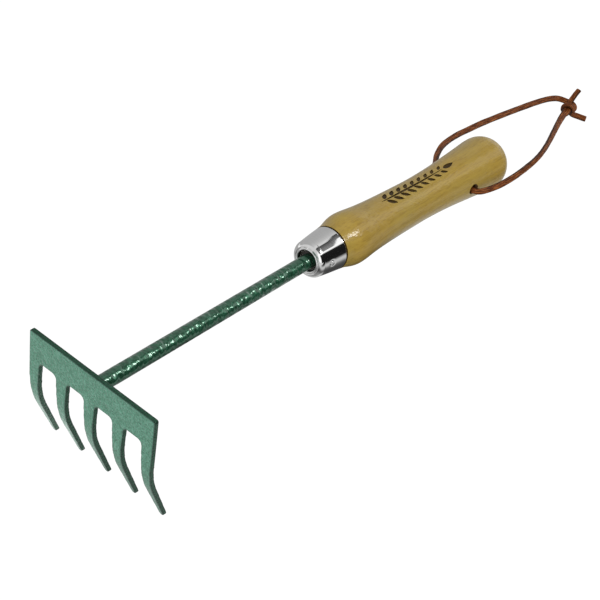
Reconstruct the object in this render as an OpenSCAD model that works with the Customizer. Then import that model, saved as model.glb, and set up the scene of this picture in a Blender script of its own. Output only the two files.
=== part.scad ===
// Hand rake: five-tine steel head on a round bar, turned wooden grip, leather hanging thong.
// Frame: origin at the middle of the head's flat front face, on the bar's axis.
// +X runs along the bar towards the grip, Y runs across the tines, +Z is up; the tines point down.

/* [Rake head] */
// Width of the head plate across the tines
head_w = 80.08; // [76:0.02:90]
// Height of the plate's top edge above the bar axis
head_top = 9.38; // [8:0.02:14]
// Thickness of the plate
plate_t = 2.71; // [2:0.01:4]
// Number of tines
tine_count = 5; // [3:2:5]
// Distance between tine centres
tine_pitch = 18.35; // [16:0.05:18.4]
// Depth of the slot roots below the bar axis
slot_root = 6.57; // [5:0.01:8]
// Radius in the corners of the slot roots
slot_corner_r = 2.5; // [1:0.1:3]
// Width of a tine at the slot root
tine_root_w = 7.63; // [6:0.01:9]
// Width of a tine where its bend starts
tine_mid_w = 6.27; // [4:0.01:7]
// Width of a tine at its tip
tine_tip_w = 2.7; // [2:0.1:4]
// Depth below the bar axis where the bend starts
bend_start = 17.89; // [14:0.01:20]
// Radius of the bend on the front face
bend_r = 49.35; // [30:0.05:60]
// Angle of the bend
bend_deg = 23.38; // [10:0.01:35]
// Straight length of a tine below its bend
tine_straight = 24.8; // [15:0.1:35]
// Thickness the tines thin down to, just past their tips
tine_tip_t = 2.3; // [1.5:0.1:2.7]

/* [Shank] */
// Radius of the round bar
shank_r = 4; // [3.5:0.1:4.2]
// Length of the tang that sits inside the grip
tang_len = 66; // [40:1:80]
// Outer radius of the weld bead against the plate
weld_r = 5.4; // [5:0.1:6.5]
// Length of the weld bead along the bar
weld_len = 1.7; // [1:0.1:2.5]

/* [Ferrule] */
// Distance from the head's front face to the mouth of the ferrule
mouth_x = 146.604; // [120:0.001:180]
// Height of the ferrule mouth's centre above the bar axis
mouth_rise = 0.897; // [0:0.001:0.9]
// Downward slope of the grip from the bar, in degrees
grip_slope = 1.6027; // [0:0.0001:1.7]
// Length of the ferrule
ferrule_len = 18.06; // [16:0.01:18.1]
// Radius of the hole in the ferrule's front wall
mouth_r = 5.97; // [5.8:0.01:6.4]
// Radius of the ferrule just behind its rounded shoulder
ferrule_front_r = 10.18; // [10:0.01:10.6]
// Radius of the ferrule at its rear edge
ferrule_rear_r = 11.87; // [11.8:0.01:11.9]
// Radius of the rounded shoulder
shoulder_r = 3.2; // [2.5:0.1:3.4]
// Wall thickness of the ferrule
ferrule_wall = 0.9; // [0.6:0.1:1.1]
// Radius of the ferrule pin
pin_r = 0.7; // [0.5:0.1:0.9]
// Distance of the ferrule pin behind the mouth
pin_x = 8.4; // [6:0.1:12]
// Length of the ferrule pin
pin_len = 4.2; // [3:0.1:4.5]

/* [Grip] */
// Overall length of the grip, from the ferrule mouth to the butt
grip_len = 172.42; // [172:0.01:200]
// Radius of the grip just behind the ferrule
neck_r = 12.0; // [11.9:0.01:12.2]
// Largest radius of the front swell
swell_r = 14.55; // [14:0.05:15.5]
// Smallest radius of the waist
waist_r = 12.18; // [11.8:0.02:12.6]
// Largest radius near the butt
butt_r = 16.05; // [15.5:0.05:17]
// Length of the rounded butt end
butt_dome = 14.18; // [8:0.01:16]
// Recess of the wood behind the ferrule mouth
wood_recess = 2.4; // [2:0.1:4]
// Radial room for the resin round the tang
resin_gap = 0.5; // [0.3:0.1:0.6]
// Distance of the thong hole behind the ferrule mouth
hole_x = 131; // [120:1:140]
// Radius of the thong hole
hole_r = 3.25; // [3:0.05:4]
// Width of the eased rim of the thong hole
hole_rim = 0.7; // [0.3:0.1:1.2]

/* [Thong] */
// Width of the lace
lace_w = 3.4; // [2.8:0.1:4]
// Thickness of the lace
lace_t = 2.2; // [1.6:0.1:2.6]
// Distance from the thong hole to the knot
knot_reach = 124.8; // [122:0.1:126]
// Nominal radius of the knot
knot_r = 5.2; // [4:0.1:6]
// Half width of the loop on the far side (+Y)
loop_far = 26.3; // [24:0.1:28]
// Half width of the loop on the near side (-Y)
loop_near = 21.9; // [20:0.1:24]
// Rise of the loop from the bar's direction, in degrees
loop_rise = 1.06; // [0:0.01:4]
// Length of each free tail from the knot's centre
tail_len = 13.3; // [10:0.1:16]

/* [Hidden] */
$fn = 96;
// How far cutters run past the faces they cut
overrun = 1;

// ---------- helpers ----------
// Moves from the bar's axis to the grip's: origin at the ferrule mouth, +X towards the butt
module grip_frame() {
  translate([mouth_x, 0, mouth_rise]) rotate([0, grip_slope, 0]) children();
}
// Turns a profile drawn as [radius, distance] about the X axis
module turned() {
  rotate([0, 90, 0]) rotate_extrude() children();
}
module along_x(from, to, radius) {
  translate([from, 0, 0]) rotate([0, 90, 0]) cylinder(h = to - from, r = radius);
}
function arc(center, radius, from, to, steps) = [
  for (k = [0 : steps])
    let (angle = from + (to - from) * k / steps)
    [center[0] + radius * cos(angle), center[1] + radius * sin(angle)]];

// ---------- rake head ----------
plate_corner_r = 1.2;
tip_r = tine_tip_w / 2;
bend_drop = bend_r * sin(bend_deg);
bend_out = bend_r * (1 - cos(bend_deg));
tip_z = -bend_start - bend_drop - tine_straight * cos(bend_deg);
// The side profile runs this far past the tips
tip_overrun = 2;
slab_margin = 5;
outline_depth = 40;

// Where the slots' corner arcs end: height, half width of the tine there, half width of the slot
corner_z = -slot_root - slot_corner_r;
corner_tine_half = tine_root_w / 2
  + (tine_mid_w - tine_root_w) / 2 * slot_corner_r / (bend_start - slot_root);
slot_half = tine_pitch / 2 - corner_tine_half;

function tine_y(i) = (i - (tine_count - 1) / 2) * tine_pitch;
// The slot between tines i and i + 1: one corner arc, the root, the other arc, from +Y to -Y
function slot_points(i) =
  let (y = tine_y(i) + tine_pitch / 2, arc_y = slot_half - slot_corner_r)
  concat(
    arc([y + arc_y, corner_z], slot_corner_r, 0, 90, 8),
    arc([y - arc_y, corner_z], slot_corner_r, 90, 180, 8));
// +Y flank, tip and -Y flank of one tine; the end tines also carry the plate's side edges
function tine_points(i) =
  let (y = tine_y(i), mid_half = tine_mid_w / 2)
  concat(
    i == tine_count - 1 ? [[head_w / 2, -slot_root]] : [],
    [[y + mid_half, -bend_start]],
    arc([y, tip_z + tip_r], tip_r, 0, -180, 12),
    [[y - mid_half, -bend_start]],
    i == 0 ? [[-head_w / 2, -slot_root]] : []);
// Plate and tines seen along the bar, as [y, z]
module head_outline() {
  corner_y = head_w / 2 - plate_corner_r;
  top_z = head_top - plate_corner_r;
  polygon(concat(
    arc([-corner_y, top_z], plate_corner_r, 180, 90, 6),
    arc([corner_y, top_z], plate_corner_r, 90, 0, 6),
    [for (i = [tine_count - 1 : -1 : 0])
      each concat(tine_points(i), i > 0 ? slot_points(i - 1) : [])]));
}

// Point on the straight part of a tine: depth in from the front face, distance below the bend
function straight_point(inward, below) = [
  bend_out + inward * cos(bend_deg) + below * sin(bend_deg),
  -bend_start - bend_drop + inward * sin(bend_deg) - below * cos(bend_deg)];
// Plate and bent tines seen from the side, as [x, z]
module side_profile() {
  bend_center = [bend_r, -bend_start];
  end_below = tine_straight + tip_overrun;
  polygon(concat(
    [[plate_t, head_top + overrun], [0, head_top + overrun]],
    arc(bend_center, bend_r, 180, 180 + bend_deg, 18),
    // the straight end thins a little towards the tip
    [straight_point(0, end_below), straight_point(tine_tip_t, end_below)],
    arc(bend_center, bend_r - plate_t, 180 + bend_deg, 180, 18)));
}
module bent_slab() {
  translate([0, head_w / 2 + slab_margin, 0]) rotate([90, 0, 0])
    linear_extrude(head_w + 2 * slab_margin) side_profile();
}
module rake_head() {
  color([0.30, 0.50, 0.41]) intersection() {
    bent_slab();
    translate([-slab_margin, 0, 0]) rotate([90, 0, 90])
      linear_extrude(outline_depth) head_outline();
  }
}

// ---------- shank and weld ----------
tang_end = mouth_x + tang_len;
// Tapered end of the tang: length, and loss of radius
taper_len = 2;
taper_depth = 1.2;
// Bead profile, as [radius, distance behind the plate]; the bar is cut out of it
bead_profile = [
  [shank_r - overrun, 0],
  [weld_r, 0],
  [weld_r - 0.25, 0.45 * weld_len],
  [shank_r + 0.35, 0.85 * weld_len],
  [shank_r, weld_len],
  [shank_r - overrun, weld_len]];

module weld_bead() {
  color([0.28, 0.46, 0.38]) difference() {
    translate([plate_t, 0, 0]) turned() polygon(bead_profile);
    along_x(plate_t - overrun, plate_t + weld_len + overrun, shank_r);
  }
}
module shank() {
  color([0.16, 0.36, 0.26]) union() {
    along_x(plate_t, tang_end - taper_len, shank_r);
    translate([tang_end - taper_len, 0, 0]) rotate([0, 90, 0])
      cylinder(h = taper_len, r1 = shank_r, r2 = shank_r - taper_depth);
  }
}

// ---------- ferrule ----------
// Turn of the pin about the grip's axis, from level on the -Y side towards +Z
pin_turn = 4.2;
// How far the pin stands out of the ferrule
pin_proud = 0.12;
// How far outside the ferrule the pin's holes start, and length of the ferrule's hole
pin_cut = 2;
pin_cut_len = 6;
// Outer radius of the ferrule's cone at the pin
pin_seat_r = ferrule_front_r
  + (ferrule_rear_r - ferrule_front_r) * (pin_x - shoulder_r) / (ferrule_len - shoulder_r);

// Inset 0 gives the outside, ferrule_wall gives the inside
module ferrule_profile(inset) {
  polygon(concat(
    [[0, inset]],
    arc([ferrule_front_r - shoulder_r, shoulder_r], shoulder_r - inset, -90, 0, 12),
    [[ferrule_rear_r - inset, ferrule_len], [0, ferrule_len]]));
}
// Rod on the pin's axis, running inwards from a distance outside the ferrule's surface
module pin_rod(outside, length) {
  grip_frame() translate([pin_x, 0, 0]) rotate([-pin_turn, 0, 0])
    translate([0, -pin_seat_r - outside, 0]) rotate([-90, 0, 0])
      cylinder(h = length, r = pin_r, $fn = 48);
}
module ferrule() {
  color([0.82, 0.83, 0.84]) difference() {
    grip_frame() turned() difference() {
      ferrule_profile(0);
      ferrule_profile(ferrule_wall);
      translate([-overrun, -overrun]) square([mouth_r + overrun, ferrule_len]);
    }
    pin_rod(pin_cut, pin_cut_len);
  }
}
module ferrule_pin() {
  color([0.75, 0.76, 0.78]) pin_rod(pin_proud, pin_len);
}

// ---------- grip ----------
dome_x = grip_len - butt_dome;
// Stations along the grip, as [distance behind the ferrule mouth, radius]
stations = [
  [ferrule_len, neck_r], [20.5, neck_r + 0.2], [23.3, neck_r + 0.68],
  [26.8, swell_r - 0.87], [30, swell_r - 0.18], [33, swell_r],
  [37, swell_r - 0.2], [44.4, swell_r - 0.92], [53.3, 13.07],
  [64, waist_r + 0.49], [79, waist_r + 0.17], [93, waist_r],
  [106.7, waist_r + 0.3], [119, 13.1], [131, 14.0],
  [145, butt_r - 0.95], [dome_x - 4, butt_r - 0.12], [dome_x, butt_r]];
last = len(stations) - 1;
// The curve lies parallel to the axis at both ends
function slope(k) = k == 0 || k == last ? 0
  : (stations[k + 1][1] - stations[k - 1][1]) / (stations[k + 1][0] - stations[k - 1][0]);
// Radius on a smooth (Hermite) curve, a given part of the way from station k to the next
function smooth_r(k, part) =
  let (
    gap = stations[k + 1][0] - stations[k][0],
    square = part * part,
    cube = square * part)
  (2 * cube - 3 * square + 1) * stations[k][1]
  + (cube - 2 * square + part) * gap * slope(k)
  + (3 * square - 2 * cube) * stations[k + 1][1]
  + (cube - square) * gap * slope(k + 1);
grip_points = [
  for (k = [0 : last - 1]) for (j = [0 : 3])
    let (part = j / 4)
    [smooth_r(k, part), stations[k][0] + part * (stations[k + 1][0] - stations[k][0])]];
dome_points = [
  for (angle = [0 : 7.5 : 90]) [butt_r * cos(angle), dome_x + butt_dome * sin(angle)]];

// Blind bore for the tang, on the bar's axis
bore_r = shank_r + resin_gap;
bore_end = tang_end + 1;
hole_cut_len = 50;
// Cones that ease the thong hole's rims: start from the grip's axis, and length
rim_start = 13.45;
rim_len = 2;

module grip_solid() {
  grip_frame() turned() union() {
    polygon(concat([[0, ferrule_len]], grip_points, dome_points));
    // the part that fills the ferrule
    intersection() {
      ferrule_profile(ferrule_wall);
      translate([0, wood_recess]) square([20, ferrule_len]);
    }
  }
}
// Cross-hole along Y, with an eased rim at each end
module thong_hole() {
  grip_frame() translate([hole_x, 0, 0]) rotate([90, 0, 0]) {
    translate([0, 0, -hole_cut_len / 2]) cylinder(h = hole_cut_len, r = hole_r, $fn = 64);
    for (turn = [0, 180]) rotate([turn, 0, 0]) translate([0, 0, rim_start])
      cylinder(h = rim_len, r1 = hole_r, r2 = hole_r + 2 * hole_rim, $fn = 64);
  }
}
module handle() {
  color([0.74, 0.62, 0.36]) difference() {
    grip_solid();
    along_x(mouth_x - overrun, bore_end, bore_r);
    thong_hole();
    // ends level with the pin's inner end
    pin_rod(pin_cut, pin_len + pin_cut - pin_proud);
  }
}
module tang_adhesive() {
  color([0.80, 0.76, 0.60]) intersection() {
    difference() {
      along_x(mouth_x, bore_end, bore_r);
      shank();
    }
    // starts flush with the wood's recessed front face
    grip_frame() translate([wood_recess, -10, -10]) cube([tang_len + 10, 20, 20]);
  }
}

// ---------- thong ----------
hole_center = [
  mouth_x + hole_x * cos(grip_slope), 0, mouth_rise - hole_x * sin(grip_slope)];
// Bezier control points in the loop's plane, as [distance towards the knot, distance sideways]
far_widest = [40.7, loop_far];
far_out = [[0, 12.5], [1.2, 16.6], [16.5, loop_far], far_widest];
far_back = [far_widest, [68, loop_far - 0.8], [knot_reach + 11.5, 17], [knot_reach + 4.4, 3.6]];
near_widest = [31.9, loop_near];
near_out = [[-0.6, 12.5], [-1.6, 18.2], [13, loop_near], near_widest];
near_back = [near_widest, [58, loop_near], [88, 12], [knot_reach - 3.5, 0.9]];
knot_size = knot_r * [2.1, 1.9, 1.7];
// Directions of the free tails from the knot's centre
tail_headings = [[9.0, 0.4, 9.5], [4.3, -11.9, -4.3]];
// Corners of the lace's section, as [part of half thickness, part of half width]
lace_section = [
  [1, 0.62], [0.72, 1], [-0.72, 1], [-1, 0.62],
  [-1, -0.62], [-0.72, -1], [0.72, -1], [1, -0.62]];

function bezier(controls, part) =
  let (rest = 1 - part)
  rest * rest * rest * controls[0] + 3 * rest * rest * part * controls[1]
  + 3 * rest * part * part * controls[2] + part * part * part * controls[3];
// From the hole's centre through a point inside the hole, out to the widest place, to the knot
function lace_path(inside, out, back, back_steps) = concat(
  [[0, 0], inside],
  [for (j = [0 : 11]) bezier(out, j / 12)],
  [for (j = [0 : back_steps]) bezier(back, j / back_steps)]);

// Sweeps the lace's section along a path lying in the loop's plane
module lace(path) {
  end = len(path) - 1;
  sides = len(lace_section);
  points = [
    for (i = [0 : end])
      let (
        along = path[min(i + 1, end)] - path[max(i - 1, 0)],
        unit = along / norm(along),
        across = [-unit[1], unit[0]])
      for (corner = lace_section)
        let (place = path[i] + across * corner[0] * lace_t / 2)
        [place[0], place[1], corner[1] * lace_w / 2]];
  faces = concat(
    [[for (k = [0 : sides - 1]) k]],
    [for (i = [0 : end - 1]) for (k = [0 : sides - 1])
      let (here = i * sides, ahead = here + sides, next = (k + 1) % sides)
      [here + k, ahead + k, ahead + next, here + next]],
    [[for (k = [sides - 1 : -1 : 0]) end * sides + k]]);
  polyhedron(points = points, faces = faces, convexity = 6);
}
// One free tail, from the knot's centre
module tail(heading) {
  yaw = atan2(heading[1], heading[0]);
  pitch = atan2(heading[2], norm([heading[0], heading[1]]));
  translate([knot_reach, 0, 0]) rotate([0, -pitch, yaw])
    translate([0, -lace_w / 2, -lace_t / 2]) cube([tail_len, lace_w, lace_t]);
}
module leather_thong() {
  color([0.48, 0.25, 0.14]) translate(hole_center) rotate([0, -loop_rise, 0]) union() {
    lace(lace_path([0, 6], far_out, far_back, 20));
    mirror([0, 1, 0]) lace(lace_path([-0.3, 6], near_out, near_back, 16));
    translate([knot_reach, 0, 0]) resize(knot_size) sphere(r = knot_r, $fn = 24);
    for (heading = tail_headings) tail(heading);
  }
}

rake_head();
weld_bead();
shank();
ferrule();
ferrule_pin();
handle();
tang_adhesive();
leather_thong();
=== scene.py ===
"""A hand rake: a tine plate welded to a round bar, a chromed ferrule, a turned wooden grip
and a leather thong through the grip's butt.

The bar lies along +X from the plate near x = 0 to the ferrule's mouth at x = 146.6 mm. The
grip carries on behind the mouth and dips slightly. +Z is up and the camera stands on the -X,
-Y side, above. Lengths are in millimetres unless a comment says metres; meshes, shaders,
lights and the camera are handed to Blender in metres.
"""
import bpy
import bmesh
import math
from contextlib import contextmanager

import numpy as np
from mathutils import Matrix, Vector, noise

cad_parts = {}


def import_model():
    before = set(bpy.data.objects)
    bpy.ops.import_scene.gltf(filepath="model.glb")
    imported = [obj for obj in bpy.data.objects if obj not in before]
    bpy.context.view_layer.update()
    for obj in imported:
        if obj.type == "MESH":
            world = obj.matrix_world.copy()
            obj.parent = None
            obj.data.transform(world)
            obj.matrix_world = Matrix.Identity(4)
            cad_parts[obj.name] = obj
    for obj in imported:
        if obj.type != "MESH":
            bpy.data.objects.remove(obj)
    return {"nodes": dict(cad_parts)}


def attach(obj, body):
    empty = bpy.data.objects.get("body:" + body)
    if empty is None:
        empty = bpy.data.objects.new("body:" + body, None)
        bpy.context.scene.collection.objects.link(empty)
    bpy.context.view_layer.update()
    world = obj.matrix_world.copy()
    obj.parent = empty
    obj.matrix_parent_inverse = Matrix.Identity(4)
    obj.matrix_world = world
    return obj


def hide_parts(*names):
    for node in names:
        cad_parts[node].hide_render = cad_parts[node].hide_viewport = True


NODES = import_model()["nodes"]
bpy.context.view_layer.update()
MM = 0.001
scene = bpy.context.scene

# ---------------------------------------------------------------- frames
# the grip's own frame: x runs back from the ferrule's mouth, along the sloping grip
GRIP_SLOPE = math.radians(1.6027)
MOUTH = np.array([146.604, 0.0, 0.897])
GRIP_X = np.array([math.cos(GRIP_SLOPE), 0, -math.sin(GRIP_SLOPE)])
GRIP_Y = np.array([0, 1.0, 0])
GRIP_Z = np.array([math.sin(GRIP_SLOPE), 0, math.cos(GRIP_SLOPE)])

# the thong's frame: its loop lies in a plane that rises slightly from the cross-hole
HOLE_X = 131.0                       # cross-hole, behind the ferrule's mouth
HOLE = MOUTH + HOLE_X * GRIP_X
LOOP_RISE = math.radians(1.06)
LOOP_X = np.array([math.cos(LOOP_RISE), 0, math.sin(LOOP_RISE)])
LOOP_Y = np.array([0, 1.0, 0])
LOOP_UP = np.array([-math.sin(LOOP_RISE), 0, math.cos(LOOP_RISE)])

# the camera, which also sets how the knot and the lace's faces are turned
VIEWPOINT = np.array([-306.557, -316.250, 406.872])
VIEW_RIGHT = np.array([0.649305, -0.748720, 0.133495])
VIEW_UP = np.array([0.400609, 0.485915, 0.776788])
VIEW_AHEAD = np.array([0.646464, 0.450893, -0.615451])


def from_grip(points):
    """Points in the grip's frame, moved to the tool's frame."""
    p = np.atleast_2d(np.array(points, float))
    return MOUTH + p[:, :1] * GRIP_X + p[:, 1:2] * GRIP_Y + p[:, 2:3] * GRIP_Z


def loop_point(out, y, lift=0.0):
    return HOLE + out * LOOP_X + y * LOOP_Y + lift * LOOP_UP


KNOT = loop_point(124.8, 0)


def knot_point(right, up, near):
    """Point offset from the knot's middle, as seen from the camera."""
    return KNOT + right * VIEW_RIGHT + up * VIEW_UP - near * VIEW_AHEAD


# ---------------------------------------------------------------- mesh helpers
@contextmanager
def editing(mesh):
    edit = bmesh.new()
    edit.from_mesh(mesh)
    yield edit
    edit.to_mesh(mesh)
    edit.free()


def mesh_object(name, verts, faces):
    """Object from vertices in millimetres."""
    mesh = bpy.data.meshes.new(name)
    mesh.from_pydata([tuple(v) for v in (np.asarray(verts, float) * MM)], [], faces)
    mesh.validate()
    piece = bpy.data.objects.new(name, mesh)
    scene.collection.objects.link(piece)
    mesh.update()
    return piece


def face_outward(piece):
    with editing(piece.data) as edit:
        bmesh.ops.recalc_face_normals(edit, faces=edit.faces)


def solid(name, verts, faces):
    piece = mesh_object(name, verts, faces)
    face_outward(piece)
    return piece


def arc(x, r, half_x, half_r, start, stop, count):
    """Profile points on an ellipse about (x, r), between two angles in degrees."""
    turns = [math.radians(a) for a in np.linspace(start, stop, count)]
    return [(x + half_x * math.cos(t), r + half_r * math.sin(t)) for t in turns]


def band(first, second, count):
    """Quads joining two closed rings whose vertices start at these indices."""
    return [(first + k, first + (k + 1) % count, second + (k + 1) % count, second + k)
            for k in range(count)]


def ring_verts(profile, count):
    verts = []
    for x, r in profile:
        for k in range(count):
            a = 2 * math.pi * k / count
            verts.append((x, r * math.cos(a), r * math.sin(a)))
    return verts


def lathe_solid(profile, count):
    """Solid of revolution about X from (x, r) points that start and end on the axis."""
    rings = [(x, r) for x, r in profile if r > 1e-6]
    verts = ring_verts(rings, count)
    faces = []
    for i in range(len(rings) - 1):
        faces += band(i * count, (i + 1) * count, count)
    start, end = len(verts), len(verts) + 1
    last = (len(rings) - 1) * count
    verts += [(profile[0][0], 0, 0), (profile[-1][0], 0, 0)]
    for k in range(count):
        after = (k + 1) % count
        faces.append((start, after, k))
        faces.append((end, last + k, last + after))
    return np.array(verts), faces


def lathe_ring(profile, count):
    """Ring-shaped solid about X from a closed loop of (x, r) points."""
    faces = []
    for i in range(len(profile)):
        faces += band(i * count, (i + 1) % len(profile) * count, count)
    return np.array(ring_verts(profile, count)), faces


def apply_modifiers(piece):
    graph = bpy.context.evaluated_depsgraph_get()
    mesh = bpy.data.meshes.new_from_object(
        piece.evaluated_get(graph), preserve_all_data_layers=True, depsgraph=graph)
    old = piece.data
    piece.modifiers.clear()
    piece.data = mesh
    bpy.data.meshes.remove(old)


def clear_slivers(piece):
    """Clear the slivers that cutting leaves behind. Distances are in metres."""
    with editing(piece.data) as edit:
        for _ in range(3):
            bmesh.ops.remove_doubles(edit, verts=edit.verts, dist=4e-6)
            bmesh.ops.dissolve_degenerate(edit, edges=edit.edges, dist=3e-6)
            many_sided = [face for face in edit.faces if len(face.verts) > 4]
            bmesh.ops.triangulate(edit, faces=many_sided, ngon_method="BEAUTY")


def shade(piece, corner):
    """Smooth shading, with edges that turn by more than `corner` degrees kept sharp."""
    mesh = piece.data
    mesh.polygons.foreach_set("use_smooth", [True] * len(mesh.polygons))
    limit = math.radians(corner)
    with editing(mesh) as edit:
        for edge in edit.edges:
            sharp = len(edge.link_faces) == 2 and edge.calc_face_angle(0.0) > limit
            edge.smooth = not sharp


def finish_piece(piece, replaced, corner, material=None, body="tool"):
    if material is not None:
        piece.data.materials.append(material)
    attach(piece, body)
    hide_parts(replaced)
    shade(piece, corner)


# ---------------------------------------------------------------- node helpers
def rgba(colour):
    """A grey level or a colour triple, with full alpha."""
    if isinstance(colour, (int, float)):
        return (colour, colour, colour, 1)
    return (*colour, 1)


def feed(tree, socket, value):
    """Link an output to the socket, or set its value."""
    if isinstance(value, bpy.types.NodeSocket):
        tree.links.new(value, socket)
    elif socket.type == "RGBA":
        socket.default_value = rgba(value)
    else:
        socket.default_value = value


def fill(tree, target, inputs):
    for key, value in inputs.items():
        feed(tree, target.inputs[key], value)


def node(tree, kind, inputs=None, **settings):
    made = tree.nodes.new("ShaderNode" + kind)
    for key, value in settings.items():
        setattr(made, key, value)
    fill(tree, made, inputs or {})
    return made


def material(name):
    made = bpy.data.materials.new(name)
    made.use_nodes = True
    return made, made.node_tree, made.node_tree.nodes["Principled BSDF"]


def ramp(tree, factor, stops):
    """Colour ramp from (position, grey or colour) stops."""
    made = node(tree, "ValToRGB", {0: factor})
    elements = made.color_ramp.elements
    while len(elements) > 1:
        elements.remove(elements[-1])
    elements[0].position = stops[0][0]
    elements[0].color = rgba(stops[0][1])
    for position, colour in stops[1:]:
        element = elements.new(position)
        element.color = rgba(colour)
    return made.outputs[0]


def spread(low, high, stops):
    """Ramp stops placed in real units, as positions between low and high."""
    return [((place - low) / (high - low), colour) for place, colour in stops]


def remap(tree, value, low, high, to_low=0.0, to_high=1.0):
    return node(tree, "MapRange", {"Value": value, "From Min": low, "From Max": high,
                                   "To Min": to_low, "To Max": to_high}).outputs[0]


def calculate(tree, operation, first, second=None):
    inputs = {0: first} if second is None else {0: first, 1: second}
    return node(tree, "Math", inputs, operation=operation).outputs[0]


def separate(tree, vector):
    return node(tree, "SeparateXYZ", {0: vector}).outputs


def mix_colour(tree, first, second, factor, mode="MIX"):
    # the node's colour sockets are numbers 6 and 7, and its colour output is number 2
    made = node(tree, "Mix", data_type="RGBA", blend_type=mode)
    fill(tree, made, {0: factor, 6: first, 7: second})
    return made.outputs[2]


def multiply(tree, first, second, factor=1.0):
    return mix_colour(tree, first, second, factor, "MULTIPLY")


def mix_shader(tree, factor, first, second):
    return node(tree, "MixShader", {0: factor, 1: first, 2: second}).outputs[0]


def mapped(tree, vector, scale=(1, 1, 1), rotation=(0, 0, 0)):
    inputs = {"Vector": vector, "Scale": scale, "Rotation": rotation}
    return node(tree, "Mapping", inputs).outputs[0]


def object_place(tree, **mapping):
    return mapped(tree, node(tree, "TexCoord").outputs["Object"], **mapping)


def noise_texture(tree, vector, scale, detail, roughness=0.5, output="Fac"):
    return node(tree, "TexNoise", {"Vector": vector, "Scale": scale, "Detail": detail,
                                   "Roughness": roughness}).outputs[output]


def smooth_cells(tree, vector, scale):
    inputs = {"Vector": vector, "Scale": scale, "Smoothness": 0.8}
    return node(tree, "TexVoronoi", inputs, feature="SMOOTH_F1").outputs["Distance"]


def bump(tree, height, strength, distance, normal=None):
    """Bump of a height; the distance is in metres."""
    inputs = {"Height": height, "Strength": strength, "Distance": distance}
    if normal is not None:
        inputs["Normal"] = normal
    return node(tree, "Bump", inputs).outputs["Normal"]


# ---------------------------------------------------------------- materials
def head_paint():
    """Hammered green paint: metallic flake under a thin clear film, finely dimpled."""
    made, tree, surface = material("hammered_paint")
    place = object_place(tree)
    dimples = smooth_cells(tree, place, scale=950)
    fine = noise_texture(tree, place, scale=1300, detail=3)
    broad = noise_texture(tree, place, scale=170, detail=4)
    depth = ramp(tree, dimples, [(0.1, 0.0), (0.75, 1.0)])
    green = mix_colour(tree, (0.060, 0.196, 0.124), (0.122, 0.300, 0.215), depth)
    green = multiply(tree, green, ramp(tree, fine, [(0.35, 0.74), (0.65, 1.24)]))
    patches = ramp(tree, broad, [(0.3, (0.84, 0.88, 0.86)), (0.7, (1.10, 1.08, 1.09))])
    green = multiply(tree, green, patches)
    # painted shade: darker paint over convex corners, and on faces not turned along X, such as
    # the top, the slot walls and the cut edges
    geometry = node(tree, "NewGeometry").outputs
    corners = ramp(tree, geometry["Pointiness"], [(0.503, 1.0), (0.535, 0.40)])
    green = multiply(tree, green, corners)
    facing = calculate(tree, "ABSOLUTE", separate(tree, geometry["Normal"])["X"])
    # painted shade: darker on faces turned away from X
    edges = ramp(tree, facing,
                 [(0.12, (0.24, 0.36, 0.30)), (0.60, (0.48, 0.58, 0.54)), (0.86, 1.0)])
    coat = ramp(tree, facing, [(0.30, 0.15), (0.80, 0.75), (0.93, 0.70), (0.985, 0.30)])
    relief = bump(tree, dimples, strength=0.80, distance=0.0005)
    relief = bump(tree, fine, strength=0.50, distance=0.0002, normal=relief)
    fill(tree, surface, {
        "Base Color": multiply(tree, green, edges),
        "Metallic": 0.60,
        "Roughness": ramp(tree, fine, [(0.3, 0.36), (0.7, 0.50)]),
        "Specular IOR Level": 0.35,
        "Coat Weight": coat,
        "Coat Roughness": 0.24,
        "Normal": relief,
        "Coat Normal": relief,
    })
    return made


def shank_paint():
    """The paint on the bar: glossier and darker, with a ripple running across it."""
    made, tree, surface = material("shank_paint")
    place = object_place(tree)
    skewed = object_place(tree, scale=(1.0, 0.55, 0.55), rotation=(0.0, 0.35, 0.30))
    dimples = smooth_cells(tree, skewed, scale=600)
    ripple = noise_texture(tree, skewed, scale=340, detail=1)
    fine = noise_texture(tree, place, scale=1100, detail=3)
    depth = ramp(tree, dimples, [(0.1, 0.0), (0.8, 1.0)])
    green = mix_colour(tree, (0.010, 0.074, 0.034), (0.038, 0.160, 0.090), depth)
    relief = bump(tree, ripple, strength=1.0, distance=0.00125)
    relief = bump(tree, dimples, strength=0.25, distance=0.0004, normal=relief)
    relief = bump(tree, fine, strength=0.05, distance=0.0003, normal=relief)
    fill(tree, surface, {
        "Base Color": multiply(tree, green, ramp(tree, fine, [(0.35, 0.75), (0.65, 1.2)])),
        "Metallic": 0.55,
        "Roughness": 0.30,
        "Coat Weight": 0.92,
        "Coat Roughness": 0.092,
        "Normal": relief,
        "Coat Normal": relief,
    })
    return made


def chrome():
    made, tree, surface = material("ferrule_chrome")
    place = object_place(tree, scale=(400, 60, 60))
    polish = noise_texture(tree, place, scale=6, detail=5)
    fill(tree, surface, {
        "Base Color": ramp(tree, polish, [(0.2, (0.80, 0.80, 0.79)), (0.8, 0.88)]),
        "Metallic": 1.0,
        "Roughness": ramp(tree, polish, [(0.35, 0.035), (0.75, 0.095)]),
        "Normal": bump(tree, polish, strength=0.02, distance=0.0001),
    })
    return made


def speckled(name, scale, detail, stops, metallic, roughness, strength, distance):
    """One noise that both colours and roughens the surface."""
    made, tree, surface = material(name)
    specks = noise_texture(tree, object_place(tree), scale, detail)
    fill(tree, surface, {
        "Base Color": ramp(tree, specks, stops),
        "Metallic": metallic,
        "Roughness": roughness,
        "Normal": bump(tree, specks, strength, distance),
    })
    return made


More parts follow.
